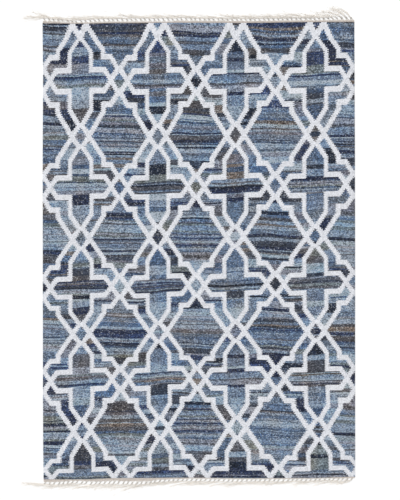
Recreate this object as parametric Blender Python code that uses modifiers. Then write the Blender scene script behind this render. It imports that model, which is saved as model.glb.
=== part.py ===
"""Flatweave rug: one woven field, with a knotted warp fringe along each short end.

Metres, +Z up. The origin is the centre of the field's underside. X runs across the rug and
Y along it, from the near end (-Y) to the far end (+Y). Every piece rests on z = 0.
"""

import math
import random

import bmesh
import bpy

# ---- Driving dimensions ----------------------------------------------------------------

FIELD_WIDTH = 1.600
FIELD_LENGTH = 2.335
FIELD_THICKNESS = 0.005
FIELD_EDGE_ROUNDING = 0.0016

# The cloth pieces meet face to face, with this much air between them.
PIECE_GAP = 0.0003

# The heading is the narrow twined band that the warps leave the cloth through.
HEADING_DEPTH = 0.006
HEADING_THICKNESS = 0.004

TASSELS_PER_END = 68
ROOT_SHARE = 0.78  # of the tassel pitch, the rest is the bare heading between two roots
TAIL_LENGTH_SPREAD = 0.07  # the hand-cut tails differ in length by this share either way

# How far the hand-beaten selvedges stray outwards from a straight line, in metres.
# Columns: place along the rug (0 near end, 1 far end), left selvedge, right selvedge.
SELVEDGES = (
    (0.00, -0.0040, 0.0010),
    (0.08, -0.0020, 0.0015),
    (0.20, -0.0008, 0.0010),
    (0.50, 0.0000, 0.0010),
    (0.70, 0.0004, 0.0000),
    (0.88, -0.0015, -0.0020),
    (1.00, 0.0010, -0.0030),
)

# How far the two ends stray towards the far side (+Y) from a straight line, in metres.
# Columns: place across the rug (0 left, 1 right), near end, far end.
ENDS = (
    (0.00, -0.0070, -0.0030),
    (0.12, -0.0070, -0.0048),
    (0.25, 0.0000, -0.0010),
    (0.45, 0.0020, 0.0000),
    (0.65, -0.0010, -0.0010),
    (0.85, 0.0000, 0.0030),
    (1.00, 0.0060, 0.0048),
)

# The tails are brushed to the left on the floor, at a shallow angle to the end of the rug.
# Columns: place across the rug (0 left, 1 right), slope and length at the near end, slope
# and length at the far end. Slopes are in degrees away from the end, lengths in metres.
TAIL_SWEEP = (
    (0.00, 11.0, 0.108, 10.5, 0.110),
    (0.08, 12.5, 0.112, 11.0, 0.108),
    (0.25, 13.5, 0.112, 11.5, 0.104),
    (0.50, 12.0, 0.108, 13.0, 0.110),
    (0.80, 11.0, 0.104, 12.0, 0.110),
    (1.00, 11.5, 0.104, 18.0, 0.118),
)

# One tassel from its root to the end of its knot, as four-sided sections lying on the floor.
# Columns: run to the left of the root, reach out from the heading, width, height, in metres.
KNOT_SECTIONS = (
    (0.0010, 0.0032, 0.0110, 0.0042),
    (0.0040, 0.0064, 0.0062, 0.0048),
    (0.0060, 0.0084, 0.0088, 0.0074),
    (0.0092, 0.0108, 0.0084, 0.0072),
    (0.0140, 0.0146, 0.0038, 0.0042),
)

# The rest of the tassel, its loose tail, bends a little towards the rug as it runs out.
# Columns: share of the tail's run, share of its reach, width, height, in metres.
TAIL_SECTIONS = (
    (0.20, 0.24, 0.0038, 0.0036),
    (0.60, 0.65, 0.0038, 0.0034),
    (1.00, 1.00, 0.0020, 0.0020),
)

# The field's grid, fine enough for its uneven outline.
FIELD_COLUMNS = 16
FIELD_ROWS = 24

DENIM_COLOUR = (0.185, 0.245, 0.335, 1.0)
COTTON_COLOUR = (0.740, 0.680, 0.590, 1.0)


# ---- The rug's outline -----------------------------------------------------------------


def read_table(table, column, place):
    """The value of one column at a place between two rows, eased from row to row."""
    for before, after in zip(table, table[1:]):
        if place <= after[0]:
            share = (place - before[0]) / (after[0] - before[0])
            eased = share * share * (3.0 - 2.0 * share)
            return before[column] + (after[column] - before[column]) * eased
    return table[-1][column]


def outline_point(across, along):
    """A point of the field, for places 0 to 1 across and along it."""
    left = -FIELD_WIDTH / 2 - read_table(SELVEDGES, 1, along)
    right = FIELD_WIDTH / 2 + read_table(SELVEDGES, 2, along)
    near = -FIELD_LENGTH / 2 + read_table(ENDS, 1, across)
    far = FIELD_LENGTH / 2 + read_table(ENDS, 2, across)
    return left + (right - left) * across, near + (far - near) * along


def end_point(across, along):
    """A point of one end, which runs straight from each column of the field's grid to the next."""
    column = min(int(across * FIELD_COLUMNS), FIELD_COLUMNS - 1)
    share = across * FIELD_COLUMNS - column
    x_before, y_before = outline_point(column / FIELD_COLUMNS, along)
    x_after, y_after = outline_point((column + 1) / FIELD_COLUMNS, along)
    return x_before + (x_after - x_before) * share, y_before + (y_after - y_before) * share


# ---- Materials and objects -------------------------------------------------------------


def fabric(name, colour):
    material = bpy.data.materials.new(name)
    material.use_nodes = True
    shader = material.node_tree.nodes["Principled BSDF"]
    shader.inputs["Base Color"].default_value = colour
    shader.inputs["Roughness"].default_value = 0.92
    shader.inputs["Metallic"].default_value = 0.0
    return material


def add_piece(name, mesh_in_progress, material, collection):
    """Makes a finished bmesh into a named object of the rug."""
    mesh = bpy.data.meshes.new(name)
    mesh_in_progress.to_mesh(mesh)
    mesh_in_progress.free()
    mesh.materials.append(material)
    piece = bpy.data.objects.new(name, mesh)
    collection.objects.link(piece)
    return piece


# ---- Woven field -----------------------------------------------------------------------


def build_field(collection, material):
    """The cloth itself: one flat slab with an uneven outline and softly rounded edges."""
    cloth = bmesh.new()
    bmesh.ops.create_grid(cloth, x_segments=FIELD_COLUMNS, y_segments=FIELD_ROWS, size=0.5)
    for vertex in cloth.verts:
        vertex.co.x, vertex.co.y = outline_point(vertex.co.x + 0.5, vertex.co.y + 0.5)
    field = add_piece("woven_field", cloth, material, collection)

    thickness = field.modifiers.new("thickness", "SOLIDIFY")
    thickness.thickness = FIELD_THICKNESS
    thickness.offset = 1.0

    rounding = field.modifiers.new("rounded edges", "BEVEL")
    rounding.width = FIELD_EDGE_ROUNDING
    rounding.segments = 2
    rounding.limit_method = "ANGLE"
    return field


# ---- Fringe ----------------------------------------------------------------------------


def heading_stations():
    """Places 0 to 1 across the rug where each root of a tassel starts and ends."""
    pitch = 1.0 / TASSELS_PER_END
    margin = (1.0 - ROOT_SHARE) * pitch / 2
    stations = [0.0]
    for tassel in range(TASSELS_PER_END):
        stations += [tassel * pitch + margin, (tassel + 1) * pitch - margin]
    return stations + [1.0]


def build_heading(end):
    """The heading band as a closed strip, and the outer faces that the tassels grow from.

    end is +1 at the far end of the rug and -1 at the near end.
    """
    stations = heading_stations()
    along = 1.0 if end > 0 else 0.0
    band = bmesh.new()
    bmesh.ops.create_grid(band, x_segments=len(stations) - 1, y_segments=1, size=0.5)
    for vertex in band.verts:
        station = round((vertex.co.x + 0.5) * (len(stations) - 1))
        is_top = vertex.co.y > 0
        x, y = end_point(stations[station], along)
        vertex.co = (x, y + end * PIECE_GAP, HEADING_THICKNESS if is_top else 0.0)

    grown = bmesh.ops.extrude_face_region(band, geom=band.faces[:], use_keep_orig=True)
    outer_faces = [part for part in grown["geom"] if isinstance(part, bmesh.types.BMFace)]
    outer_vertices = [part for part in grown["geom"] if isinstance(part, bmesh.types.BMVert)]
    bmesh.ops.translate(band, verts=outer_vertices, vec=(0.0, end * HEADING_DEPTH, 0.0))

    outer_faces.sort(key=lambda face: face.calc_center_median().x)
    roots = outer_faces[1::2]
    return band, roots


def tassel_path(end, place, length_factor):
    """Sections (run, reach, width, height) of the tassel at a place across the rug."""
    slope_column, length_column = (3, 4) if end > 0 else (1, 2)
    slope = math.radians(read_table(TAIL_SWEEP, slope_column, place))
    length = read_table(TAIL_SWEEP, length_column, place) * length_factor
    sections = list(KNOT_SECTIONS)
    knot_run, knot_reach = KNOT_SECTIONS[-1][:2]
    tail_run = length - knot_run
    tail_reach = tail_run * math.tan(slope)
    for run_share, reach_share, width, height in TAIL_SECTIONS:
        run = knot_run + tail_run * run_share
        reach = knot_reach + tail_reach * reach_share
        sections.append((run, reach, width, height))
    return sections


def grow_tassel(band, root, end, sections):
    """Extrudes a root face from section to section, as one gathered, knotted lock of warps."""
    middle = root.calc_center_median()
    corners = []
    for vertex in root.verts:
        corners.append((1 if vertex.co.x > middle.x else -1, vertex.co.z > middle.z))
    path = [(middle.x, middle.y)]
    for run, reach, _, _ in sections:
        path.append((middle.x - run, middle.y + end * reach))

    face = root
    for index, (_, _, width, height) in enumerate(sections, start=1):
        before = path[index - 1]
        after = path[min(index + 1, len(path) - 1)]
        forward_x, forward_y = after[0] - before[0], after[1] - before[1]
        step = math.hypot(forward_x, forward_y)
        side_x, side_y = end * forward_y / step, -end * forward_x / step
        face = bmesh.ops.extrude_discrete_faces(band, faces=[face])["faces"][0]
        for vertex, (side, is_top) in zip(face.verts, corners):
            vertex.co.x = path[index][0] + side * side_x * width / 2
            vertex.co.y = path[index][1] + side * side_y * width / 2
            vertex.co.z = height if is_top else 0.0


def build_fringe(name, end, collection, material):
    """One end's heading with all its tassels, as a single closed piece."""
    band, roots = build_heading(end)
    cut_by_hand = random.Random(name)
    for tassel, root in enumerate(roots):
        place = (tassel + 0.5) / TASSELS_PER_END
        length_factor = 1.0 + cut_by_hand.uniform(-TAIL_LENGTH_SPREAD, TAIL_LENGTH_SPREAD)
        grow_tassel(band, root, end, tassel_path(end, place, length_factor))
    bmesh.ops.recalc_face_normals(band, faces=band.faces[:])
    return add_piece(name, band, material, collection)


# ---- The rug ---------------------------------------------------------------------------


def main():
    for leftover in list(bpy.data.objects):
        bpy.data.objects.remove(leftover, do_unlink=True)

    rug = bpy.data.collections.new("flatweave_rug")
    bpy.context.scene.collection.children.link(rug)
    denim = fabric("denim_weft", DENIM_COLOUR)
    cotton = fabric("cotton_warp", COTTON_COLOUR)

    build_field(rug, denim)
    build_fringe("fringe_near_end", -1, rug, cotton)
    build_fringe("fringe_far_end", 1, rug, cotton)


main()
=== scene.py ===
import math
import random

import bmesh
import bpy
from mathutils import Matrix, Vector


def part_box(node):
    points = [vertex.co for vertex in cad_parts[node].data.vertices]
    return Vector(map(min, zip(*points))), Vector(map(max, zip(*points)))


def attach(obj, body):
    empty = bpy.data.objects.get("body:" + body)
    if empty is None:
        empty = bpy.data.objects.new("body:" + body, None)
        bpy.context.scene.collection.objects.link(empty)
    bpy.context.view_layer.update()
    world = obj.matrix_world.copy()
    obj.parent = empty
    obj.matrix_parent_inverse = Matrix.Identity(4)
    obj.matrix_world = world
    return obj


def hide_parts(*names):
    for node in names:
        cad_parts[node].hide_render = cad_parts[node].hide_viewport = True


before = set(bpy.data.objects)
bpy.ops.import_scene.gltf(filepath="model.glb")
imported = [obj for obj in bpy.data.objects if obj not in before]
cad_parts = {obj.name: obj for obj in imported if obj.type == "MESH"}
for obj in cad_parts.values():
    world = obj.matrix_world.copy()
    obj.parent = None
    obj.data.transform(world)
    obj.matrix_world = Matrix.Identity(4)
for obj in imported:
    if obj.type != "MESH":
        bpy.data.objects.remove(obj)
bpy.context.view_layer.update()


# ---- Woven field -----------------------------------------------------------------------
# The cloth is one weft-faced tapestry panel: thick wefts spun from shredded old denim, and
# off-white cotton for the trellis, beaten down tight over undyed cotton warps. It is woven
# in one piece on an upright loom, and its selvedges are the wefts' own turns.

field_width = 1.600
field_length = 2.335
field_low, field_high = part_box("woven_field")
cloth_thickness = field_high[2] - field_low[2]

# How far the selvedges and the ends stray from straight lines, in metres.
# Columns: place along from the near end, left selvedge outwards, right selvedge outwards.
selvedge_stray = (
    (0.00, -0.0040, 0.0010),
    (0.08, -0.0020, 0.0015),
    (0.20, -0.0008, 0.0010),
    (0.50, 0.0000, 0.0010),
    (0.70, 0.0004, 0.0000),
    (0.88, -0.0015, -0.0020),
    (1.00, 0.0010, -0.0030),
)
# Columns: place across from the left, then how far towards the far side the near end and
# the far end stray.
end_stray = (
    (0.00, -0.0070, -0.0030),
    (0.12, -0.0070, -0.0048),
    (0.25, 0.0000, -0.0010),
    (0.45, 0.0020, 0.0000),
    (0.65, -0.0010, -0.0010),
    (0.85, 0.0000, 0.0030),
    (1.00, 0.0060, 0.0048),
)


def read_table(table, column, place):
    """The value of a column at a place between two rows of a table, eased from row to row."""
    for before, after in zip(table, table[1:]):
        if place <= after[0]:
            share = max(0.0, (place - before[0]) / (after[0] - before[0]))
            eased = share * share * (3.0 - 2.0 * share)
            return before[column] + (after[column] - before[column]) * eased
    return table[-1][column]


def selvedge_x(side, along):
    """Where a selvedge runs: side is -1 for the left one and +1 for the right one."""
    column = 1 if side < 0 else 2
    return side * (field_width / 2 + read_table(selvedge_stray, column, along))


def end_y(end, across):
    """Where an end of the cloth runs: end is +1 for the far one and -1 for the near one."""
    column = 2 if end > 0 else 1
    return end * field_length / 2 + read_table(end_stray, column, across)


# The weaver counts the trellis in warps and in rows. A repeat runs from one cross to the
# next, and repeats are counted from the first whole cross, at the far left.
warps_per_repeat = 98
rows_per_repeat = 116
first_repeat_across = -0.515
first_repeat_down = -0.500
row_count = 523
last_repeat_down = first_repeat_down + row_count / rows_per_repeat

# Hand weaving drifts, so the repeat lines aren't quite straight or even.
# Columns: repeats from the first cross, then x in metres at the near end, a fifth of the
# way up, in the middle, and at the far end.
repeat_columns = (
    (-0.5, -0.797, -0.803, -0.804, -0.806),
    (0.0, -0.595, -0.603, -0.604, -0.609),
    (0.5, -0.394, -0.403, -0.407, -0.409),
    (1.0, -0.196, -0.204, -0.211, -0.211),
    (1.5, 0.002, -0.009, -0.015, -0.014),
    (2.0, 0.200, 0.190, 0.185, 0.190),
    (2.5, 0.411, 0.397, 0.391, 0.392),
    (3.0, 0.624, 0.603, 0.596, 0.598),
    (3.5, 0.824, 0.803, 0.796, 0.800),
)
column_places = (-1.167, -0.660, 0.000, 1.167)

# Columns: repeats down from the first cross, then y in metres at each column of crosses,
# from left to right. The cloth's own ends lie before the first row and after the last.
repeat_rows = (
    (-0.385, 1.080, 1.082, 1.082, 1.086),
    (-0.29, 1.032, 1.032, 1.028, 1.036),
    (0.0, 0.872, 0.870, 0.870, 0.876),
    (0.5, 0.583, 0.583, 0.590, 0.598),
    (1.0, 0.326, 0.326, 0.330, 0.336),
    (1.5, 0.059, 0.069, 0.070, 0.071),
    (2.0, -0.190, -0.183, -0.175, -0.167),
    (2.5, -0.427, -0.420, -0.416, -0.414),
    (3.0, -0.665, -0.654, -0.655, -0.656),
    (3.5, -0.924, -0.910, -0.908, -0.920),
    (3.74, -1.053, -1.038, -1.034, -1.043),
)
row_places = (-0.600, -0.200, 0.200, 0.600)


def straight_between(keys, values, key):
    """Straight interpolation in two lists, where the keys rise, and on past both ends."""
    index = 1
    while index < len(keys) - 1 and key > keys[index]:
        index += 1
    share = (key - keys[index - 1]) / (keys[index] - keys[index - 1])
    return values[index - 1] + (values[index] - values[index - 1]) * share


def row_lines(across):
    """The repeat numbers of the charted rows, and their y at a place across the cloth."""
    x = (across - 0.5) * field_width
    repeats = [first_repeat_down]
    places = [end_y(1, across)]
    for number, *heights in repeat_rows:
        repeats.append(number)
        places.append(straight_between(row_places, heights, x))
    repeats.append(last_repeat_down)
    places.append(end_y(-1, across))
    return repeats, places


# The first crossings, by the far end, were set out a little further apart than the rest.
far_crossings_spread = 0.0105
far_crossings_depth = 0.080


def warp_number(x, y):
    """How many warps lie left of a place on the cloth."""
    nearness = max(0.0, (y - field_length / 2) / far_crossings_depth + 1.0)
    x -= far_crossings_spread * x * min(1.0, nearness)
    repeats = [line[0] for line in repeat_columns]
    places = [straight_between(column_places, line[1:], y) for line in repeat_columns]
    return (straight_between(places, repeats, x) - first_repeat_across) * warps_per_repeat


# The weaver sits before one cross at a time, and each one leans a little, up to the right.
lean = 0.0035
lean_fades_over = 0.060


def leaning(y, repeats):
    """How far a leaning row strays towards the far side, by its y and the repeats across."""
    from_end = field_length / 2 - abs(y)
    return lean * math.sin(math.tau * repeats) * min(1.0, max(0.0, from_end) / lean_fades_over)


# The cloth's mesh has one crest and one valley for each weft row, so that its ribs and the
# turns at its selvedges are real. Columns are closer at the selvedges, where it rounds off.
selvedge_turn = 0.0007
rib_height = 0.0003
rounded_drop = 0.0016
rounding_width = 0.0020
inner_columns = 36

across_places = [0.0, rounding_width / field_width]
for column in range(1, inner_columns):
    across_places.append(column / inner_columns)
across_places += [1.0 - rounding_width / field_width, 1.0]
mesh_rows = row_count * 2

cloth = bmesh.new()
bmesh.ops.create_grid(cloth, x_segments=len(across_places) - 1, y_segments=mesh_rows, size=0.5)
chart_layer = cloth.verts.layers.float_vector.new("weave_chart")
rows_at = [row_lines(across) for across in across_places]
for vertex in cloth.verts:
    column = round((vertex.co.x + 0.5) * (len(across_places) - 1))
    row = round((0.5 - vertex.co.y) * mesh_rows)
    across = across_places[column]
    is_crest = row % 2 == 1
    at_side = column in (0, len(across_places) - 1)
    at_end = row in (0, mesh_rows)
    repeats, places = rows_at[column]
    y = straight_between(repeats, places, first_repeat_down + row / 2 / rows_per_repeat)
    along = 0.5 + y / field_length
    left, right = selvedge_x(-1, along), selvedge_x(1, along)
    x = left + (right - left) * across
    warps = warp_number(x, y)
    y += leaning(y, warps / warps_per_repeat + first_repeat_across)
    if at_side and is_crest:
        x += math.copysign(selvedge_turn, across - 0.5)
    vertex[chart_layer] = (warps, row / 2, 0.0)
    dip = 0.0 if is_crest else rib_height
    if at_side or at_end:
        dip += rounded_drop
    vertex.co = (x, y, dip)

grown = bmesh.ops.extrude_face_region(cloth, geom=cloth.faces[:], use_keep_orig=True)
for part in grown["geom"]:
    if isinstance(part, bmesh.types.BMVert):
        part.co.z = cloth_thickness - part.co.z
bmesh.ops.recalc_face_normals(cloth, faces=cloth.faces[:])

cloth_mesh = bpy.data.meshes.new("woven_cloth")
cloth.to_mesh(cloth_mesh)
cloth.free()
cloth_mesh.shade_smooth()
woven_cloth = bpy.data.objects.new("woven_cloth", cloth_mesh)
bpy.context.scene.collection.objects.link(woven_cloth)

# One quarter of a repeat, charted in metres from the middle of a cross: the outlines of its
# patches of denim. Whatever lies between them is the white trellis.
# Columns: across, along. The cross lies under its line, and the open ground over its own.
quarter_width, quarter_length = 0.200, 0.254
cross_outline = (
    (0.0, 0.1945), (0.044, 0.130), (0.0445, 0.036), (0.118, 0.036), (0.144, 0.0), (0.200, 0.0)
)
ground_outline = (
    (0.0, 0.254), (0.0573, 0.254), (0.130, 0.1475), (0.1305, 0.1227), (0.162, 0.1227), (0.200, 0.0655)
)

# The ribbon of denim between two straps runs from one crossing to the next, between these.
ribbon_inner_edge = (
    (0.0, 0.203), (0.022, 0.203), (0.0662, 0.1377), (0.0667, 0.063), (0.129, 0.063), (0.157, 0.021),
    (0.179, 0.055), (0.200, 0.055)
)
ribbon_outer_edge = (
    (0.0, 0.203), (0.022, 0.203), (0.045, 0.231), (0.1073, 0.1383), (0.1078, 0.0965), (0.152, 0.0965),
    (0.179, 0.055), (0.200, 0.055)
)

# Two small diamonds fill the crossings: one above the cross, and one beside it. Columns:
# where the diamond starts, along for the top one and across for the side one, and its slope.
top_diamond = (0.2115, 1.461)
side_diamond = (0.1705, 1.386)

# In the rows before the first whole cross, the ribbons shift inwards, and the diamonds up.
first_crossing_rows = 36.0
first_ribbon_shift = 0.009
first_diamond_lift = 0.0125

# Neighbouring colours dovetail: on odd rows the join lies this many warps further on than
# on even rows, and every few warps it strays by a part of a warp more.
tooth_depth = 1.2
tooth_stray = 0.3
warps_per_stray = 12.0

# How many lengths of yarn are used up from the middle of a patch to a place along it. The
# wider the patch, the fewer rows a length of yarn covers. Columns: along, lengths.
most_lengths = 8.0
cross_lengths = ((0.0, 0.0), (0.0355, 2.4), (0.1275, 4.0), (0.192, 4.5), (0.254, 5.0))
ground_lengths = ((0.0, 7.9), (0.068, 7.4), (0.1227, 6.8), (0.148, 6.0), (0.254, 0.0))
ribbon_lengths = ((0.0, 0.0), (0.063, 0.6), (0.095, 2.0), (0.140, 2.8), (0.230, 4.4), (0.254, 4.6))
top_lengths_per_metre, side_lengths_per_metre = 18.0, 14.0

# The rows of a colour wander over a span of this many rows, and the two scales say how fast.
rows_wander = 4.0
wander_across, wander_down = 0.02, 0.05

# Short leftover pieces are joined in between the full lengths. This is their share, and how
# many of them go into one full length. The offsets keep any two draws from being alike.
short_pieces_share, short_pieces_scale = 0.34, 2.4
patch_offset, short_pieces_offset = 977.0, 5000.0

# Yarns spun from old denim. Columns: share of the rows, then red, green and blue as seen.
denim_yarns = (
    (0.04, 30, 38, 54),
    (0.05, 39, 47, 70),
    (0.05, 57, 64, 78),
    (0.04, 50, 62, 92),
    (0.05, 76, 78, 86),
    (0.05, 73, 90, 116),
    (0.05, 90, 92, 100),
    (0.05, 84, 103, 130),
    (0.03, 108, 102, 100),
    (0.05, 98, 112, 131),
    (0.05, 107, 110, 124),
    (0.07, 105, 120, 143),
    (0.04, 111, 120, 124),
    (0.07, 114, 131, 155),
    (0.06, 131, 136, 150),
    (0.06, 124, 142, 167),
    (0.07, 135, 151, 172),
    (0.05, 146, 167, 190),
    (0.04, 157, 177, 191),
    (0.03, 178, 196, 211),
)
cotton_white = (226, 228, 234)

# Torn denim shows its dark face in one place and its pale back in another. One place in
# seven takes on some of the pale colour, and as many take on some of the dark one.
pale_fleck, pale_fleck_strength = (190, 196, 204), 0.24
dark_fleck, dark_fleck_strength = (44, 46, 56), 0.60
flecked_share = 0.14
# However pale its flecks are, no denim gets paler than this albedo.
palest_denim = (0.40, 0.45, 0.52)

# Lighter and darker flecks one warp wide and two warps wide, and how strong they are in the
# plainest yarn, and by how much more in the most flecked.
fleck_share, long_fleck_share = 1.45, 0.4
least_flecked, flecked_range = 0.75, 0.85

# A shade varies by these shares of itself: from bead to bead, along a yarn, from one yarn
# to the next, and from row to row. Cotton varies less. The last pair says how fast a shade
# drifts, for each warp and for each row.
bead_spread, drift_spread, yarn_spread, row_spread = 1.2, 0.8, 0.3, 0.4
cotton_fleck_spread, cotton_drift_spread = 0.34, 0.2
drift_across, drift_down = 0.09, 1.7

# Old denim comes in lots: some are bluer, and some are browner.
lot_spread = 0.45
lot_across, lot_down = 0.035, 0.03

# A bead of weft is rounded. Its colour carries painted shade where it dips under a warp, and painted
# light on its crown.
bead_roundness = 0.6
painted_dip_shade, painted_crown_light = 0.80, 0.30
bead_relief = 0.0006

# How bright a white surface lies in the studio's light, by which seen colours are divided.
studio_gain = 1.13


def seen_colour(red, green, blue):
    """A finished colour as an albedo: made linear, and divided by the studio's light."""
    linear = []
    for channel in (red, green, blue):
        value = channel / 255
        value = value / 12.92 if value <= 0.04045 else ((value + 0.055) / 1.055) ** 2.4
        linear.append(value / studio_gain)
    return (*linear, 1.0)


def add_node(tree, kind, *inputs, **settings):
    """A shader node with its settings, and its inputs linked or set in order."""
    node = tree.nodes.new(kind)
    for setting, value in settings.items():
        setattr(node, setting, value)
    for socket, value in zip(node.inputs, inputs):
        if isinstance(value, bpy.types.NodeSocket):
            tree.links.new(value, socket)
        elif value is not None:
            socket.default_value = value
    return node


def calc(tree, operation, *inputs):
    """One step of arithmetic on numbers or on what other nodes give."""
    return add_node(tree, "ShaderNodeMath", *inputs, operation=operation).outputs[0]


def pack(tree, x, y, z=0.0):
    """Up to three numbers as one vector."""
    return add_node(tree, "ShaderNodeCombineXYZ", x, y, z).outputs[0]


def blend(tree, share, first, second):
    """Blends two numbers, which are the third and fourth inputs of the node."""
    return add_node(tree, "ShaderNodeMix", share, None, first, second, data_type="FLOAT").outputs[0]


def blend_colour(tree, share, first, second):
    """Blends two colours, which are the seventh and eighth inputs of the node."""
    unused = [None] * 5
    return add_node(tree, "ShaderNodeMix", share, *unused, first, second, data_type="RGBA").outputs[2]


def toned(tree, colour, tone):
    """A colour made darker or lighter by a number, the fourth input of the node."""
    return add_node(tree, "ShaderNodeVectorMath", colour, None, None, tone, operation="SCALE").outputs[0]


def tinted(tree, colour, tint, operation="MULTIPLY"):
    """A colour multiplied by another, channel by channel, or kept under it with MINIMUM."""
    return add_node(tree, "ShaderNodeVectorMath", colour, tint, operation=operation).outputs[0]


def charted_line(tree, points, key, key_range, value_range):
    """The value at a key of a line through some points. A curve node only runs from 0 to 1,
    so keys and values are divided by their ranges first.
    """
    curve = tree.nodes.new("ShaderNodeFloatCurve")
    line = curve.mapping.curves[0]
    while len(line.points) < len(points):
        line.points.new(0.5, 0.5)
    for point, (place, value) in zip(line.points, points):
        point.location = (place / key_range, value / value_range)
        point.handle_type = "VECTOR"
    curve.mapping.update()
    curve.inputs["Factor"].default_value = 1.0
    tree.links.new(calc(tree, "DIVIDE", key, key_range), curve.inputs["Value"])
    return calc(tree, "MULTIPLY", curve.outputs[0], value_range)


def random_numbers(tree, *keys):
    """Three random numbers, fixed for each set of whole keys."""
    noise = add_node(tree, "ShaderNodeTexWhiteNoise", pack(tree, *keys), noise_dimensions="3D")
    separate = add_node(tree, "ShaderNodeSeparateColor", noise.outputs["Color"])
    return [noise.outputs["Value"], *separate.outputs[1:3]]


def smooth_noise(tree, warps, rows, across_scale, down_scale, detail=1.0):
    """A number that drifts over the cloth, by a scale for each warp and one for each row."""
    across = calc(tree, "MULTIPLY", warps, across_scale)
    down = calc(tree, "MULTIPLY", rows, down_scale)
    noise = add_node(tree, "ShaderNodeTexNoise", pack(tree, across, down), noise_dimensions="2D")
    noise.inputs["Scale"].default_value = 1.0
    noise.inputs["Detail"].default_value = detail
    return noise.outputs["Fac"]


def around_one(tree, value, spread):
    """A number from 0 to 1 made into a factor whose middle is one."""
    return calc(tree, "MULTIPLY_ADD", value, spread, 1.0 - spread / 2)


def fabric_shader(tree, colour, bump_height, bump_depth, roughness, sheen):
    """The finish all the cloth and yarn share: matt, with a little fuzz that catches light."""
    bump = add_node(tree, "ShaderNodeBump")
    bump.inputs["Strength"].default_value = 0.7
    bump.inputs["Distance"].default_value = bump_depth
    tree.links.new(bump_height, bump.inputs["Height"])
    shader = tree.nodes["Principled BSDF"]
    tree.links.new(colour, shader.inputs["Base Color"])
    tree.links.new(bump.outputs[0], shader.inputs["Normal"])
    shader.inputs["Roughness"].default_value = roughness
    shader.inputs["Sheen Weight"].default_value = sheen
    shader.inputs["Specular IOR Level"].default_value = 0.2


def repeats_down(tree, row):
    """How many repeats lie from the first cross down to the middle of a row."""
    middle = calc(tree, "DIVIDE", calc(tree, "ADD", row, 0.5), float(rows_per_repeat))
    return calc(tree, "ADD", middle, first_repeat_down)


def off_middle(tree, repeats, full_size):
    """How far a place lies from the middle of its repeat, in metres."""
    whole = calc(tree, "ROUND", repeats)
    return calc(tree, "MULTIPLY", calc(tree, "SUBTRACT", repeats, whole), full_size)


def repeats_across(tree, warps, row, odd):
    """How many repeats lie left of a place, from the first cross, as the dovetailed joins see it."""
    group = calc(tree, "ROUND", calc(tree, "DIVIDE", warps, warps_per_stray))
    stray = calc(tree, "SUBTRACT", random_numbers(tree, row, group)[0], 0.5)
    tooth = calc(tree, "MULTIPLY_ADD", odd, tooth_depth, 0.5 - tooth_depth / 2)
    tooth = calc(tree, "MULTIPLY_ADD", stray, tooth_stray, tooth)
    charted_warp = calc(tree, "ADD", calc(tree, "FLOOR", warps), tooth)
    repeats = calc(tree, "DIVIDE", charted_warp, float(warps_per_repeat))
    return calc(tree, "ADD", repeats, first_repeat_across)


def charted_patches(tree, row, repeat_across, repeat_down):
    """The kinds of patch on the chart, each with 1 where a place lies in one, and 0 elsewhere."""
    # Both halves of a repeat mirror, so the chart holds one quarter of it.
    across = calc(tree, "ABSOLUTE", off_middle(tree, repeat_across, quarter_width * 2))
    along = calc(tree, "ABSOLUTE", off_middle(tree, repeat_down, quarter_length * 2))

    # Each of the first crossings is narrower in itself, and its diamonds sit higher.
    to_first = add_node(
        tree, "ShaderNodeMath", row, -1.0 / first_crossing_rows, 1.0,
        operation="MULTIPLY_ADD", use_clamp=True,
    ).outputs[0]
    ribbon_across = calc(tree, "MULTIPLY_ADD", to_first, first_ribbon_shift, across)
    is_first = calc(tree, "GREATER_THAN", to_first, 0.0)
    diamond_along = calc(tree, "MULTIPLY_ADD", is_first, -first_diamond_lift, along)

    def outline(points, place):
        return charted_line(tree, points, place, quarter_width, quarter_length)

    past_inner = calc(tree, "GREATER_THAN", along, outline(ribbon_inner_edge, ribbon_across))
    before_outer = calc(tree, "LESS_THAN", along, outline(ribbon_outer_edge, ribbon_across))
    top_start, top_slope = top_diamond
    top_edge = calc(tree, "MULTIPLY_ADD", across, top_slope, top_start)
    side_start, side_slope = side_diamond
    side_edge = calc(tree, "MULTIPLY_ADD", across, side_slope, -side_start * side_slope)
    return {
        "ribbon": calc(tree, "MULTIPLY", past_inner, before_outer),
        "ground": calc(tree, "GREATER_THAN", along, outline(ground_outline, ribbon_across)),
        "cross": calc(tree, "LESS_THAN", along, outline(cross_outline, across)),
        "top diamond": calc(tree, "GREATER_THAN", diamond_along, top_edge),
        "side diamond": calc(tree, "LESS_THAN", along, side_edge),
    }


def patch_numbers(tree, patches, repeat_across, repeat_down):
    """Numbers of the patch that a place lies in: across, down, and one drawn for the patch."""
    # A ribbon's quarters are patches of their own. The other kinds are whole, and each lies
    # round the middle or the corners of a repeat. Columns: kind, shift across, shift down.
    centres = (
        ("ground", 0.0, 0.0), ("cross", 0.5, 0.5), ("top diamond", 0.5, 0.0), ("side diamond", 0.0, 0.5),
    )
    scale, shift_across, shift_down, kind = 2.0, 0.0, 0.0, 0.0
    for number, (name, kind_across, kind_down) in enumerate(centres, start=1):
        scale = blend(tree, patches[name], scale, 1.0)
        shift_across = blend(tree, patches[name], shift_across, kind_across)
        shift_down = blend(tree, patches[name], shift_down, kind_down)
        kind = blend(tree, patches[name], kind, float(number))
    patch_across = calc(tree, "FLOOR", calc(tree, "MULTIPLY_ADD", repeat_across, scale, shift_across))
    patch_down = calc(tree, "FLOOR", calc(tree, "MULTIPLY_ADD", repeat_down, scale, shift_down))
    return patch_across, patch_down, random_numbers(tree, patch_across, patch_down, kind)[0]


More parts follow.
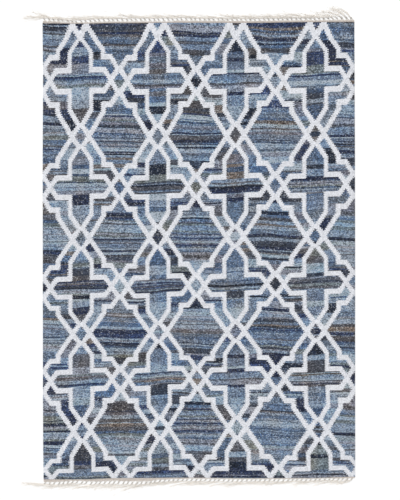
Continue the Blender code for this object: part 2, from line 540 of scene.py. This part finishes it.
def lengths_used(tree, patches, patch_number, wandering_row):
    """How many lengths of yarn are used up at a row. Each patch starts at a count of its own."""
    from_middle = off_middle(tree, repeats_down(tree, wandering_row), quarter_length * 2)
    side = calc(tree, "SIGN", from_middle)
    distance = calc(tree, "ABSOLUTE", from_middle)

    def lengths(points):
        return charted_line(tree, points, distance, quarter_length, most_lengths)

    to_corner = calc(tree, "SUBTRACT", quarter_length, distance)
    used = lengths(ribbon_lengths)
    for name, count in (
        ("cross", calc(tree, "MULTIPLY", lengths(cross_lengths), side)),
        ("ground", calc(tree, "MULTIPLY", lengths(ground_lengths), side)),
        ("top diamond", calc(tree, "MULTIPLY", to_corner, top_lengths_per_metre)),
        ("side diamond", calc(tree, "MULTIPLY", from_middle, side_lengths_per_metre)),
    ):
        used = blend(tree, patches[name], used, count)
    return calc(tree, "ADD", used, calc(tree, "MULTIPLY", patch_number, patch_offset))


def yarn_at(tree, used):
    """The yarn in the weaver's hand: which one, its shade and how flecked it is, from 0 to 1."""

    def piece_of_yarn(count, scale):
        piece = add_node(tree, "ShaderNodeTexVoronoi", voronoi_dimensions="1D")
        piece.inputs["Scale"].default_value = scale
        tree.links.new(count, piece.inputs["W"])
        return add_node(tree, "ShaderNodeSeparateColor", piece.outputs["Color"]).outputs[:3]

    full = piece_of_yarn(used, 1.0)
    short = piece_of_yarn(calc(tree, "ADD", used, short_pieces_offset), short_pieces_scale)
    is_short = calc(tree, "GREATER_THAN", short[1], 1.0 - short_pieces_share)
    return blend(tree, is_short, full[0], short[0]), full[1], full[2]


def denim_ramp(tree, yarn_number):
    """The colour of a yarn, by its number from 0 to 1."""
    ramp = add_node(tree, "ShaderNodeValToRGB", yarn_number)
    ramp.color_ramp.interpolation = "CONSTANT"
    place = 0.0
    # A new ramp has two stops of its own already.
    for index, (share, *colour) in enumerate(denim_yarns):
        stop = ramp.color_ramp.elements[index] if index < 2 else ramp.color_ramp.elements.new(place)
        stop.position = place
        stop.color = seen_colour(*colour)
        place += share
    return ramp.outputs["Color"]


def torn_flecks(tree, colour, pale_chance, dark_chance):
    """A denim's colour, with some pale or some dark added where one of two draws is high."""
    for draw, fleck_colour, strength in (
        (pale_chance, pale_fleck, pale_fleck_strength), (dark_chance, dark_fleck, dark_fleck_strength)
    ):
        share = calc(tree, "MULTIPLY", calc(tree, "GREATER_THAN", draw, 1.0 - flecked_share), strength)
        colour = blend_colour(tree, share, colour, seen_colour(*fleck_colour))
    return colour


def lot_tint(tree, warps, rows):
    """A tint that is bluer where one lot of denim was used, and browner where another was."""
    lot = smooth_noise(tree, warps, rows, lot_across, lot_down)
    return pack(tree, around_one(tree, lot, -lot_spread), 1.0, around_one(tree, lot, lot_spread))


def weft_beads(tree, warps, rows):
    """The weft shows as beads, each over two warps, in two passes to a row. Gives how far one
    stands out, from 0 to 1, and the numbers of the bead and of its pass.
    """
    passes = calc(tree, "MULTIPLY", rows, 2.0)
    pass_number = calc(tree, "FLOOR", passes)
    beads = calc(tree, "MULTIPLY", calc(tree, "ADD", warps, pass_number), 0.5)

    def rounded(count):
        return calc(tree, "SINE", calc(tree, "MULTIPLY", calc(tree, "FRACT", count), math.pi))

    dome = calc(tree, "MULTIPLY", rounded(beads), rounded(passes))
    return calc(tree, "POWER", dome, bead_roundness), calc(tree, "FLOOR", beads), pass_number


def weave_material():
    """The dyed and the white wefts, laid out by the chart and shaded down to single beads."""
    material = bpy.data.materials.new("woven_denim_and_cotton")
    material.use_nodes = True
    tree = material.node_tree
    chart = add_node(tree, "ShaderNodeAttribute", attribute_name="weave_chart")
    warps, rows, _ = add_node(tree, "ShaderNodeSeparateXYZ", chart.outputs["Vector"]).outputs
    row = calc(tree, "FLOOR", rows)
    odd = calc(tree, "FLOORED_MODULO", row, 2.0)

    repeat_across = repeats_across(tree, warps, row, odd)
    repeat_down = repeats_down(tree, row)
    patches = charted_patches(tree, row, repeat_across, repeat_down)
    patch_across, patch_down, patch_number = patch_numbers(tree, patches, repeat_across, repeat_down)
    is_denim = 0.0
    for inside in patches.values():
        is_denim = calc(tree, "MAXIMUM", is_denim, inside)

    # The rows of a colour wander a little, where one is beaten down harder than the next.
    wander = smooth_noise(tree, warps, rows, wander_across, wander_down)
    wander = calc(tree, "MULTIPLY_ADD", wander, rows_wander, -rows_wander / 2)
    wandering_row = calc(tree, "FLOOR", calc(tree, "ADD", rows, wander))
    used = lengths_used(tree, patches, patch_number, wandering_row)
    yarn_number, yarn_shade, yarn_fleck = yarn_at(tree, used)

    # The flecks of the torn denim, and how the shade drifts along the yarn. A third key of
    # 3 or 7 only keeps one draw from being like another.
    bead, bead_number, pass_number = weft_beads(tree, warps, rows)
    fleck, pale_chance, dark_chance = random_numbers(tree, calc(tree, "FLOOR", warps), row)
    row_beads = calc(tree, "FLOOR", calc(tree, "MULTIPLY", calc(tree, "ADD", warps, odd), 0.5))
    long_fleck = random_numbers(tree, row_beads, row, 3.0)[0]
    small_fleck = random_numbers(tree, bead_number, pass_number, 7.0)[0]
    drift = smooth_noise(tree, warps, row, drift_across, drift_down, detail=2.0)
    row_shade = random_numbers(tree, wandering_row, patch_across, patch_down)[1]
    flecks = calc(tree, "MULTIPLY_ADD", fleck, fleck_share, -(fleck_share + long_fleck_share) / 2)
    flecks = calc(tree, "MULTIPLY_ADD", long_fleck, long_fleck_share, flecks)
    fleck_strength = calc(tree, "MULTIPLY_ADD", yarn_fleck, flecked_range, least_flecked)
    denim_tone = calc(tree, "POWER", 2.0, calc(tree, "MULTIPLY", flecks, fleck_strength))
    for number, spread in (
        (small_fleck, bead_spread), (drift, drift_spread),
        (yarn_shade, yarn_spread), (row_shade, row_spread),
    ):
        denim_tone = calc(tree, "MULTIPLY", denim_tone, around_one(tree, number, spread))

    denim_colour = torn_flecks(tree, denim_ramp(tree, yarn_number), pale_chance, dark_chance)
    denim_colour = toned(tree, denim_colour, denim_tone)
    denim_colour = tinted(tree, denim_colour, lot_tint(tree, warps, rows))
    denim_colour = tinted(tree, denim_colour, palest_denim, operation="MINIMUM")

    cotton_tone = around_one(tree, fleck, cotton_fleck_spread)
    cotton_tone = calc(tree, "MULTIPLY", cotton_tone, around_one(tree, drift, cotton_drift_spread))
    cotton_colour = toned(tree, seen_colour(*cotton_white)[:3], cotton_tone)
    colour = blend_colour(tree, is_denim, cotton_colour, denim_colour)
    # Painted shade between the beads, and painted light on their crowns.
    colour = toned(tree, colour, calc(tree, "MULTIPLY_ADD", bead, painted_crown_light, painted_dip_shade))
    fabric_shader(tree, colour, bead, bump_depth=bead_relief, roughness=0.9, sheen=0.08)
    return material


cloth_mesh.materials.append(weave_material())
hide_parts("woven_field")
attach(woven_cloth, "root")


# ---- Headings --------------------------------------------------------------------------
# Rows of cotton twining close each end of the cloth, so that the wefts can't slip off the
# warps. Each row is two plies that cross between the warps.

heading_depth = 0.006
piece_gap = 0.0003
# One row or two run all the way, and part rows fill out the places where the cloth's end
# draws back.
# Columns: end, reach out from the cloth in metres, place across from and to.
twining_rows = (
    (1, 0.0016, 0.0, 1.0), (1, 0.0046, 0.0, 1.0), (1, 0.0076, 0.0, 0.055), (1, 0.0076, 0.42, 1.0),
    (-1, 0.0016, 0.0, 1.0), (-1, 0.0046, 0.0, 0.46), (-1, 0.0046, 0.93, 1.0), (-1, 0.0076, 0.0, 0.08),
    (-1, 0.0076, 0.13, 0.40), (-1, 0.0106, 0.0, 0.05), (-1, 0.0106, 0.16, 0.36),
    (-1, 0.0136, 0.24, 0.35),
)
twining_row_gap = 0.0030
twining_pitch = 0.0078
twining_radius = 0.00070
ply_radius = 0.00080
points_per_turn = 6
twining_height = 0.0022

# Undyed cotton, as seen in the studio's light, where the loose yarns are all but white.
cotton_yarn = (262, 256, 248)
heading_yarn = (232, 222, 214)
dirt_scale, fibre_scale = 60.0, 900.0
dirt_spread, fibre_spread = 0.16, 0.16

# A yarn keeps its full thickness up to this share of its length, and then tapers.
taper_from = 0.35


def yarn_mesh(name, paths, radius, sides=4, tones_and_shade=None, taper=1.0):
    """Many round yarns as one mesh: each path is a list of points, with a tone for each that also holds
    any painted shade.
    """
    curve = bpy.data.curves.new(name, "CURVE")
    curve.dimensions = "3D"
    curve.bevel_depth = radius
    curve.bevel_resolution = (sides - 4) // 2
    curve.use_fill_caps = True
    for path in paths:
        spline = curve.splines.new("POLY")
        spline.points.add(len(path) - 1)
        for index, (point, place) in enumerate(zip(spline.points, path)):
            point.co = (*place, 1.0)
            past = max(0.0, index / (len(path) - 1) - taper_from) / (1.0 - taper_from)
            point.radius = 1.0 + (taper - 1.0) * past
    guide = bpy.data.objects.new(name + "_guide", curve)
    bpy.context.scene.collection.objects.link(guide)
    bpy.context.view_layer.update()
    evaluated = guide.evaluated_get(bpy.context.evaluated_depsgraph_get())
    mesh = bpy.data.meshes.new_from_object(evaluated)
    mesh.name = name
    bpy.data.objects.remove(guide)
    bpy.data.curves.remove(curve)

    # The closed ends come first, from the last yarn to the first, and then the rings of points.
    tones_and_shade = tones_and_shade or [[1.0] * len(path) for path in paths]
    tone_and_shade_of_vertex = []
    for path_tones_and_shade in reversed(tones_and_shade):
        tone_and_shade_of_vertex += [path_tones_and_shade[-1]] * sides + [path_tones_and_shade[0]] * sides
    for path_tones_and_shade in tones_and_shade:
        for tone in path_tones_and_shade:
            tone_and_shade_of_vertex += [tone] * sides
    attribute = mesh.attributes.new("yarn_tone_and_shade", "FLOAT", "POINT")
    attribute.data.foreach_set("value", tone_and_shade_of_vertex)

    shell = bmesh.new()
    shell.from_mesh(mesh)
    bmesh.ops.remove_doubles(shell, verts=shell.verts[:], dist=1e-6)
    bmesh.ops.recalc_face_normals(shell, faces=shell.faces[:])
    shell.to_mesh(mesh)
    shell.free()
    mesh.shade_smooth()
    piece = bpy.data.objects.new(name, mesh)
    bpy.context.scene.collection.objects.link(piece)
    return piece


def cotton_material(name, colour, twist_scale):
    """Undyed cotton yarn, a little uneven in shade, with its plies showing as a twist."""
    material = bpy.data.materials.new(name)
    material.use_nodes = True
    tree = material.node_tree
    # The yarn's tone holds painted shade on the fringe's necks, knots and tails by the knots.
    tone = add_node(tree, "ShaderNodeAttribute", attribute_name="yarn_tone_and_shade").outputs["Fac"]
    place = add_node(tree, "ShaderNodeTexCoord").outputs["Object"]
    dirt = add_node(tree, "ShaderNodeTexNoise", place)
    dirt.inputs["Scale"].default_value = dirt_scale
    dirt.inputs["Detail"].default_value = 3.0
    fibres = add_node(tree, "ShaderNodeTexNoise", place)
    fibres.inputs["Scale"].default_value = fibre_scale
    shade = calc(tree, "MULTIPLY", tone, around_one(tree, dirt.outputs["Fac"], dirt_spread))
    shade = calc(tree, "MULTIPLY", shade, around_one(tree, fibres.outputs["Fac"], fibre_spread))
    twist = add_node(tree, "ShaderNodeTexWave", place, wave_type="BANDS", bands_direction="DIAGONAL")
    twist.inputs["Scale"].default_value = twist_scale
    twist.inputs["Distortion"].default_value = 1.0
    colour = toned(tree, seen_colour(*colour)[:3], shade)
    fabric_shader(tree, colour, twist.outputs["Fac"], bump_depth=0.00015, roughness=0.92, sheen=0.25)
    return material


heading_material = cotton_material("twined_cotton", heading_yarn, twist_scale=220.0)


def heading_point(end, across, reach):
    """A place on the floor past an end of the cloth: reach is the distance out from it."""
    along = 1.0 if end > 0 else 0.0
    left, right = selvedge_x(-1, along), selvedge_x(1, along)
    return left + (right - left) * across, end_y(end, across) + end * (piece_gap + reach)


for end_name, end in (("far", 1), ("near", -1)):
    plies = []
    for row_end, reach, start, stop in twining_rows:
        if row_end != end:
            continue
        # Each row twines the other way from the row before it.
        hand = 1 if round(reach / twining_row_gap) % 2 == 0 else -1
        turns = round(field_width * (stop - start) / twining_pitch)
        for ply in (0, 1):
            path = []
            for step in range(turns * points_per_turn + 1):
                share = step / (turns * points_per_turn)
                x, y = heading_point(end, start + (stop - start) * share, reach)
                angle = hand * (share * turns + ply / 2) * math.tau
                y += twining_radius * math.cos(angle)
                path.append((x, y, twining_height + twining_radius * math.sin(angle)))
            plies.append(path)
    heading = yarn_mesh(end_name + "_heading", plies, ply_radius)
    heading.data.materials.append(heading_material)
    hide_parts(f"fringe_{end_name}_end")
    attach(heading, "root")


# ---- Knotted fringe --------------------------------------------------------------------
# The fringe is the cloth's own cotton warps. Six at a time, and twice as many by the
# selvedges, are drawn together past the heading and tied in an overhand knot. Their tails
# lie brushed to the left, each yarn a little its own way, and unravel at their cut ends.

tassels_per_end = 68
warps_per_tassel = 6
corner_tassels = 3
warps_per_corner_tassel = 12
warp_radius = 0.00068
tail_length_spread = 0.07
tail_points = 8

# Columns: place across the rug, then for the near end the slope in degrees and the length
# in metres of the tails, how far out their warps still lie side by side, how far their knots
# sit beyond that, and how far the yarns are tangled. The same five follow for the far end.
tail_sweep = (
    (0.00, 4.0, 0.108, 0.0065, 0.95, 0.0000, 5.0, 0.110, 0.0070, 1.05, 0.0000),
    (0.03, 7.0, 0.110, 0.0070, 1.05, 0.0010, 8.0, 0.109, 0.0065, 1.05, 0.0005),
    (0.07, 9.0, 0.112, 0.0030, 1.10, 0.0005, 8.0, 0.108, 0.0035, 1.05, 0.0005),
    (0.11, 11.0, 0.112, 0.0000, 0.95, 0.0005, 8.0, 0.108, -0.0010, 0.80, 0.0005),
    (0.16, 12.0, 0.112, 0.0065, 1.15, 0.0000, 7.5, 0.106, 0.0030, 0.95, 0.0000),
    (0.22, 11.0, 0.112, 0.0085, 1.20, 0.0000, 7.5, 0.105, 0.0035, 0.95, 0.0000),
    (0.33, 10.0, 0.110, 0.0120, 1.30, 0.0030, 7.0, 0.104, 0.0045, 1.00, 0.0010),
    (0.38, 10.5, 0.109, 0.0010, 1.00, 0.0020, 7.0, 0.106, 0.0035, 0.95, 0.0000),
    (0.46, 11.0, 0.108, -0.0005, 0.85, 0.0000, 6.5, 0.108, 0.0060, 1.00, 0.0010),
    (0.60, 11.0, 0.106, -0.0005, 0.85, 0.0005, 6.5, 0.110, 0.0045, 0.95, 0.0010),
    (0.77, 11.0, 0.104, -0.0010, 0.80, 0.0010, 6.5, 0.110, 0.0040, 0.90, 0.0030),
    (0.92, 10.0, 0.104, -0.0020, 0.75, 0.0020, 8.0, 0.110, 0.0050, 0.95, 0.0035),
    (1.00, 10.0, 0.104, -0.0010, 0.85, 0.0030, 18.0, 0.118, 0.0050, 1.20, 0.0040),
)
near_columns, far_columns = range(1, 6), range(6, 11)

# Tails that lie further out than their neighbours, or bunched at a corner.
# Columns: end, tassel from the left, slope in degrees, length, outward bow.
unruly_tails = (
    (1, 0, -1.0, 0.110, 0.0), (1, 1, 4.0, 0.112, 0.0), (1, 2, 18.0, 0.106, 0.002),
    (1, 20, 13.0, 0.105, 0.001), (1, 22, 16.0, 0.080, 0.0), (1, 28, 11.0, 0.106, 0.002),
    (1, 34, 11.0, 0.110, 0.0), (1, 64, 12.0, 0.102, 0.002), (1, 65, 18.0, 0.096, 0.005),
    (1, 66, 25.0, 0.088, 0.008), (1, 67, 27.0, 0.092, 0.013), (-1, 0, -3.5, 0.112, 0.0),
    (-1, 1, -2.0, 0.112, 0.0), (-1, 2, 2.5, 0.104, 0.0), (-1, 3, 8.0, 0.108, 0.001),
    (-1, 21, 15.0, 0.100, 0.001), (-1, 40, 15.0, 0.090, 0.0), (-1, 42, 21.0, 0.064, 0.0),
    (-1, 58, 16.0, 0.076, 0.001), (-1, 65, 16.0, 0.058, 0.003), (-1, 66, 20.0, 0.050, 0.004),
    (-1, 67, 18.0, 0.052, 0.003),
)

# How much one tassel differs from the next: in slope, never under the least one, in place,
# in how far out its knot sits, and in shade.
tassel_slope_spread, least_slope = 2.0, 3.0
tassel_shift = 0.0018
stretch_spread = 0.15
tassel_tones = (0.95, 1.0)

# The gathered warps from the heading to the far side of the knot, in metres, and the painted
# shade on them, darkest in the neck just before the knot.
# Columns: run to the left of the root, reach out from the heading, half spread, height, tone of painted
# shade.
gathered = (
    (0.0000, -0.0050, 0.0110, 0.0022, 0.90),
    (0.0000, 0.0000, 0.0088, 0.0020, 0.84),
    (0.0004, 0.0020, 0.0050, 0.0018, 0.78),
    (0.0014, 0.0042, 0.0027, 0.0018, 0.69),
    (0.0030, 0.0066, 0.0018, 0.0018, 0.64),
    (0.0056, 0.0096, 0.0018, 0.0030, 0.72),
    (0.0110, 0.0136, 0.0017, 0.0018, 0.84),
)

# From the knot on, which is the fifth row of that table, a tassel's warps lie three abreast
# in two layers. The twelve of a corner tassel crowd in two to a place.
first_knotted = 4
warps_abreast = 3
layer_height = 0.0014
gathered_drop = 0.0009
knotted_spread, knotted_slant = 0.8, 0.7
tangled_sideways = 1.2

# The knot: about one and a half turns of the bundle round itself, on a slanting line.
knot_centre_run, knot_centre_reach = 0.0058, 0.0097
knot_along_x, knot_along_y = -0.75, 0.66
knot_radius = 0.0021
knot_yarn_radius = 0.0011
knot_squash = 0.95
knot_turns = 1.6
knot_start_angle = 0.6
knot_length = 0.0030
knot_points = 11
# The knot's colour carries painted shade: its tassel's tone times this.
painted_knot_shade = 0.66

# Most yarns of a tail lie side by side, and one in a few strays from them. Lengths are
# shares of the tail's own, and no yarn is longer than the last number.
yarn_slope_spread = 1.0
stray_share = 0.18
stray_slope_spread = 7.0
yarn_lengths, longest_yarn = (0.42, 1.20), 1.02
yarn_bow_spread = 0.0012
yarn_tones = (0.96, 1.04)
yarn_spacing, yarn_spacing_at_tip = 0.0011, 0.0017
tail_bend = 0.22
# A tail carries painted shade by its knot, which fades out towards its tip.
painted_shade_by_knot = 0.97

# How far a yarn wanders, in metres, and the part of its tassel's tangle that comes on top.
yarn_wander, tangled_wander = (0.0003, 0.0012), (0.3, 1.0)

# By parts of its wander, a yarn sways sideways, and rises and falls. The sways are in radians
# along the tail, and each pair of shares is the one by the knot and the one at the tip.
sideways_sway, upward_sway, upward_sway_start = 5.0, 7.0, 1.7
sideways_shares, upward_shares, layer_shares = (0.4, 1.6), (1.0, 0.4), (1.0, 0.3)

# A yarn's cut end unravels into its plies, which curl. Angles are in degrees.
plies_per_warp = 3
ply_end_radius = 0.00035
ply_end_points = 5
ply_overlap = 0.002
ply_lengths = (0.010, 0.030)
ply_turn, ply_turn_spread, ply_curl = 4.0, 16.0, 35.0
ply_slope_share = 0.8
fringe_material = cotton_material("cotton_warp_yarn", cotton_yarn, twist_scale=260.0)


def between(first, last, share):
    """A value part of the way from one to another."""
    return first + (last - first) * share


def tail_place(knot_end, tail_run, slope, bow, share):
    """A point of a tail's middle line, which bends a little towards the rug as it runs."""
    bent = share * (1.0 + tail_bend - tail_bend * share)
    reach = knot_end[1] + tail_run * math.tan(slope) * bent + bow * math.sin(math.pi * share)
    return knot_end[0] + tail_run * share, reach


def unravelled_plies(chance, tip, slope, root_y, end):
    """The plies of one yarn's cut end, each curling its own way down to the floor."""
    tip_x, tip_reach, tip_height = tip
    paths = []
    for _ in range(plies_per_warp):
        turn = slope * ply_slope_share + math.radians(chance.gauss(ply_turn, ply_turn_spread))
        curl = math.radians(chance.gauss(0.0, ply_curl))
        step_length = chance.uniform(*ply_lengths) / ply_end_points
        x, reach = tip_x + ply_overlap, tip_reach - ply_overlap * math.tan(slope)
        path = [(x, root_y + end * reach, tip_height)]
        for step in range(1, ply_end_points):
            share = step / ply_end_points
            x -= step_length * math.cos(turn + curl * share)
            reach += step_length * math.sin(turn + curl * share)
            height = ply_end_radius + (tip_height - ply_end_radius) * (1.0 - share)
            path.append((x, root_y + end * reach, max(ply_end_radius, height)))
        paths.append(path)
    return paths


def knot_path(x, reach, root_y, end):
    """The bundle's turns round itself, with their middle at a place past the heading."""
    path = []
    for step in range(knot_points):
        share = step / (knot_points - 1)
        angle = share * knot_turns * math.tau + knot_start_angle
        off = (share - 0.5) * knot_length
        side = knot_radius * math.cos(angle)
        path.append((
            x + knot_along_x * off + knot_along_y * side,
            root_y + end * (reach + knot_along_y * off - knot_along_x * side),
            knot_radius + knot_yarn_radius + knot_radius * knot_squash * math.sin(angle),
        ))
    return path


for end_name, end, columns in (("far", 1, far_columns), ("near", -1, near_columns)):
    unruly = {row[1]: row[2:] for row in unruly_tails if row[0] == end}
    chance = random.Random(end_name)
    yarns, tones_and_shade, knots, knot_tones_and_shade, plies = [], [], [], [], []
    for tassel in range(tassels_per_end):
        place = (tassel + 0.5) / tassels_per_end
        root_x, root_y = heading_point(end, place, heading_depth)
        slope, length, side_by_side, stretch, tangle = [
            read_table(tail_sweep, column, place) for column in columns
        ]
        slope = max(least_slope, slope + chance.gauss(0.0, tassel_slope_spread))
        length *= 1.0 + chance.uniform(-tail_length_spread, tail_length_spread)
        slope, length, bow = unruly.get(tassel, (slope, length, 0.0))
        tassel_tone = chance.uniform(*tassel_tones)
        root_x += chance.uniform(-tassel_shift, tassel_shift)
        stretch *= chance.uniform(1.0 - stretch_spread, 1.0 + stretch_spread)
        is_at_corner = min(tassel, tassels_per_end - 1 - tassel) < corner_tassels
        warps = warps_per_corner_tassel if is_at_corner else warps_per_tassel

        for warp in range(warps):
            middle_warp = (warps - 1) / 2
            fan = (warp - middle_warp) / middle_warp
            column, layer = warp // 2 % warps_abreast - 1, warp % 2
            sway = chance.uniform(0.0, math.tau)
            wander = chance.uniform(*yarn_wander) + tangle * chance.uniform(*tangled_wander)
            is_stray = chance.random() < stray_share
            slope_spread = stray_slope_spread if is_stray else yarn_slope_spread
            own_slope = math.radians(slope + chance.gauss(0.0, slope_spread))
            own_length = length * min(longest_yarn, chance.uniform(*yarn_lengths))
            own_bow = bow + chance.gauss(0.0, yarn_bow_spread)
            own_tone = tassel_tone * chance.uniform(*yarn_tones)

            path, path_tones_and_shade = [], []
            for index, (run, reach, spread, height, tone) in enumerate(gathered):
                is_knotted = index >= first_knotted
                sideways = column * spread * knotted_spread if is_knotted else fan * spread
                slant = sideways * knotted_slant if is_knotted else 0.0
                lift = layer * layer_height if is_knotted else 0.0
                out = side_by_side + reach * stretch if reach >= 0 else reach
                jitter = tangle * chance.uniform(-tangled_sideways, tangled_sideways)
                path.append((
                    root_x - run + sideways + jitter,
                    root_y + end * (out + slant),
                    max(warp_radius, height - gathered_drop + lift),
                ))
                # The tone from the table is painted shade on the neck and the knot.
                path_tones_and_shade.append(tone)

            # The tail runs on from the knot and comes to lie on the floor.
            knot_end = (gathered[-1][0], side_by_side + gathered[-1][1] * stretch)
            tail_run = own_length - knot_end[0]
            for step in range(1, tail_points + 1):
                share = step / tail_points
                run, reach = tail_place(knot_end, tail_run, own_slope, own_bow, share)
                reach += column * between(yarn_spacing, yarn_spacing_at_tip, share * share)
                sideways = math.sin(sway + share * sideways_sway)
                reach += wander * sideways * between(*sideways_shares, share)
                upwards = 1.0 + math.sin(sway * upward_sway_start + share * upward_sway)
                rise = warp_radius + layer * layer_height * between(*layer_shares, share)
                rise += wander * upwards * between(*upward_shares, share)
                path.append((root_x - run, root_y + end * reach, rise))
                # Painted shade by the knot, fading towards the tip.
                path_tones_and_shade.append(own_tone * between(painted_shade_by_knot, 1.0, share))
            yarns.append(path)
            tones_and_shade.append(path_tones_and_shade)
            plies += unravelled_plies(chance, (root_x - run, reach, rise), own_slope, root_y, end)

        knot_reach = side_by_side + knot_centre_reach * stretch
        knots.append(knot_path(root_x - knot_centre_run, knot_reach, root_y, end))
        # Painted shade on the knot.
        knot_tones_and_shade.append([tassel_tone * painted_knot_shade] * knot_points)

    tassels = yarn_mesh(end_name + "_tassels", yarns, warp_radius, tones_and_shade=tones_and_shade, taper=0.5)
    tied = yarn_mesh(end_name + "_knots", knots, knot_yarn_radius, sides=6, tones_and_shade=knot_tones_and_shade)
    loose = yarn_mesh(end_name + "_unravelled_ends", plies, ply_end_radius, taper=0.4)
    for piece in (tassels, tied, loose):
        piece.data.materials.append(fringe_material)
        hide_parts(f"fringe_{end_name}_end")
        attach(piece, "root")


# ---- Studio ----------------------------------------------------------------------------
# A plain white floor under a large soft light and an even white sky, and a camera straight
# above the rug.

floor_mesh = bpy.data.meshes.new("floor")
floor_shape = bmesh.new()
bmesh.ops.create_grid(floor_shape, x_segments=1, y_segments=1, size=12.0)
floor_shape.to_mesh(floor_mesh)
floor_shape.free()
floor = bpy.data.objects.new("floor", floor_mesh)
bpy.context.scene.collection.objects.link(floor)
floor_paint = bpy.data.materials.new("pale_floor")
floor_paint.use_nodes = True
floor_shader = floor_paint.node_tree.nodes["Principled BSDF"]
floor_shader.inputs["Base Color"].default_value = (0.90, 0.90, 0.90, 1.0)
floor_shader.inputs["Roughness"].default_value = 0.9
floor_shader.inputs["Specular IOR Level"].default_value = 0.1
floor_mesh.materials.append(floor_paint)

sky = bpy.data.worlds.new("white_sky")
sky.use_nodes = True
sky.node_tree.nodes["Background"].inputs["Color"].default_value = (1.0, 1.0, 1.0, 1.0)
sky.node_tree.nodes["Background"].inputs["Strength"].default_value = 0.70
bpy.context.scene.world = sky

lamp_data = bpy.data.lights.new("soft_light", "SUN")
lamp_data.energy = 1.75
lamp_data.angle = math.radians(50.0)
lamp = bpy.data.objects.new("soft_light", lamp_data)
lamp.rotation_euler = (math.radians(-28.0), math.radians(-22.0), 0.0)
bpy.context.scene.collection.objects.link(lamp)

lens = bpy.data.cameras.new("camera")
lens.lens = 85.0
lens.sensor_width = 36.0
view_height_on_floor = 2.564
view_centre = (0.006, 0.002)
camera_distance = view_height_on_floor / 2 / (lens.sensor_width / 2 / lens.lens)
camera = bpy.data.objects.new("camera", lens)
camera.location = (*view_centre, field_high[2] + camera_distance)
bpy.context.scene.collection.objects.link(camera)
bpy.context.scene.camera = camera
bpy.context.scene.view_settings.view_transform = "Standard"
